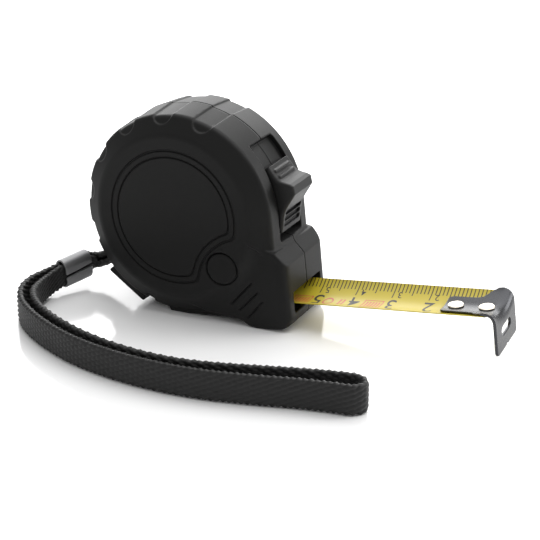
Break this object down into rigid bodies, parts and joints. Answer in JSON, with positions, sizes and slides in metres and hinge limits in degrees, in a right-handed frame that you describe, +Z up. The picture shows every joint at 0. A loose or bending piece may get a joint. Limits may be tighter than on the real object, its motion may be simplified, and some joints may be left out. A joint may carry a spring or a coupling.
{
  "type": "pocket tape measure",
  "caption": "Compact black pocket tape measure: yellow steel blade partly out with a black end hook, thumb lock on the front shoulder, woven wrist strap.",
  "frame": {"origin": "on the table, under the middle of the case and blade together", "axes": "+X runs with the blade toward the end hook, +Y across the case, +Z up"},
  "size_m": [0.1247, 0.0694, 0.0544],
  "materials": {
    "case_plastic": "fine matte moulded texture",
    "screw_steel": "dark zinc plate",
    "inner_steel": "bright turned steel",
    "drum_plastic": "plain moulded",
    "spring_steel": "blued spring steel",
    "blade_paint": "satin yellow lacquer with black print",
    "hook_black": "glossy black nickel",
    "rivet_nickel": "pale nickel, slightly dull",
    "lock_plastic": "matte moulded",
    "pad_rubber": "matt",
    "ferrule_metal": "satin black nickel",
    "strap_webbing": "tight black woven tape"
  },
  "bodies": {
    "case": {"case_left": "case_plastic", "case_right": "case_plastic", "side_badge": "case_plastic", "case_screws": "screw_steel", "spindle": "inner_steel", "spool_washers": "inner_steel", "strap_bar": "inner_steel", "ferrule": "ferrule_metal", "strap": "strap_webbing"},
    "spool": {"spool_drum": "drum_plastic", "drum_cover": "drum_plastic", "mainspring": "spring_steel", "blade_anchor": "inner_steel", "blade_coil": "blade_paint"},
    "blade": {"blade_strip": "blade_paint", "hook_rivets": "rivet_nickel", "rivet_washers": "rivet_nickel"},
    "hook": {"end_hook": "hook_black"},
    "lock": {"lock_button": "lock_plastic", "lock_carriage": "lock_plastic", "brake_pad": "pad_rubber"}
  },
  "joints": [
    {"name": "blade_slide", "type": "slide", "parent": "case", "child": "blade", "axis": [0.9951, 0, 0.0988], "range_m": [-0.0517, 0.01], "deforming": ["blade_strip"]},
    {"name": "hook_play", "type": "slide", "parent": "blade", "child": "hook", "axis": [0.9951, 0, 0.0988], "range_m": [0, 0.0008]},
    {"name": "spool_spin", "type": "hinge", "parent": "case", "child": "spool", "pos_m": [-0.02923, 0, 0.0272], "axis": [0, -1, 0], "range_deg": [-139, 28], "deforming": ["mainspring"]},
    {"name": "lock_slide", "type": "hinge", "parent": "case", "child": "lock", "pos_m": [-0.02923, 0, 0.0272], "axis": [0, -1, 0], "range_deg": [0, 14]}
  ],
  "couplings": [
    {"joint": "spool_spin", "follows": "blade_slide", "rad_per_m": 46.512}
  ]
}
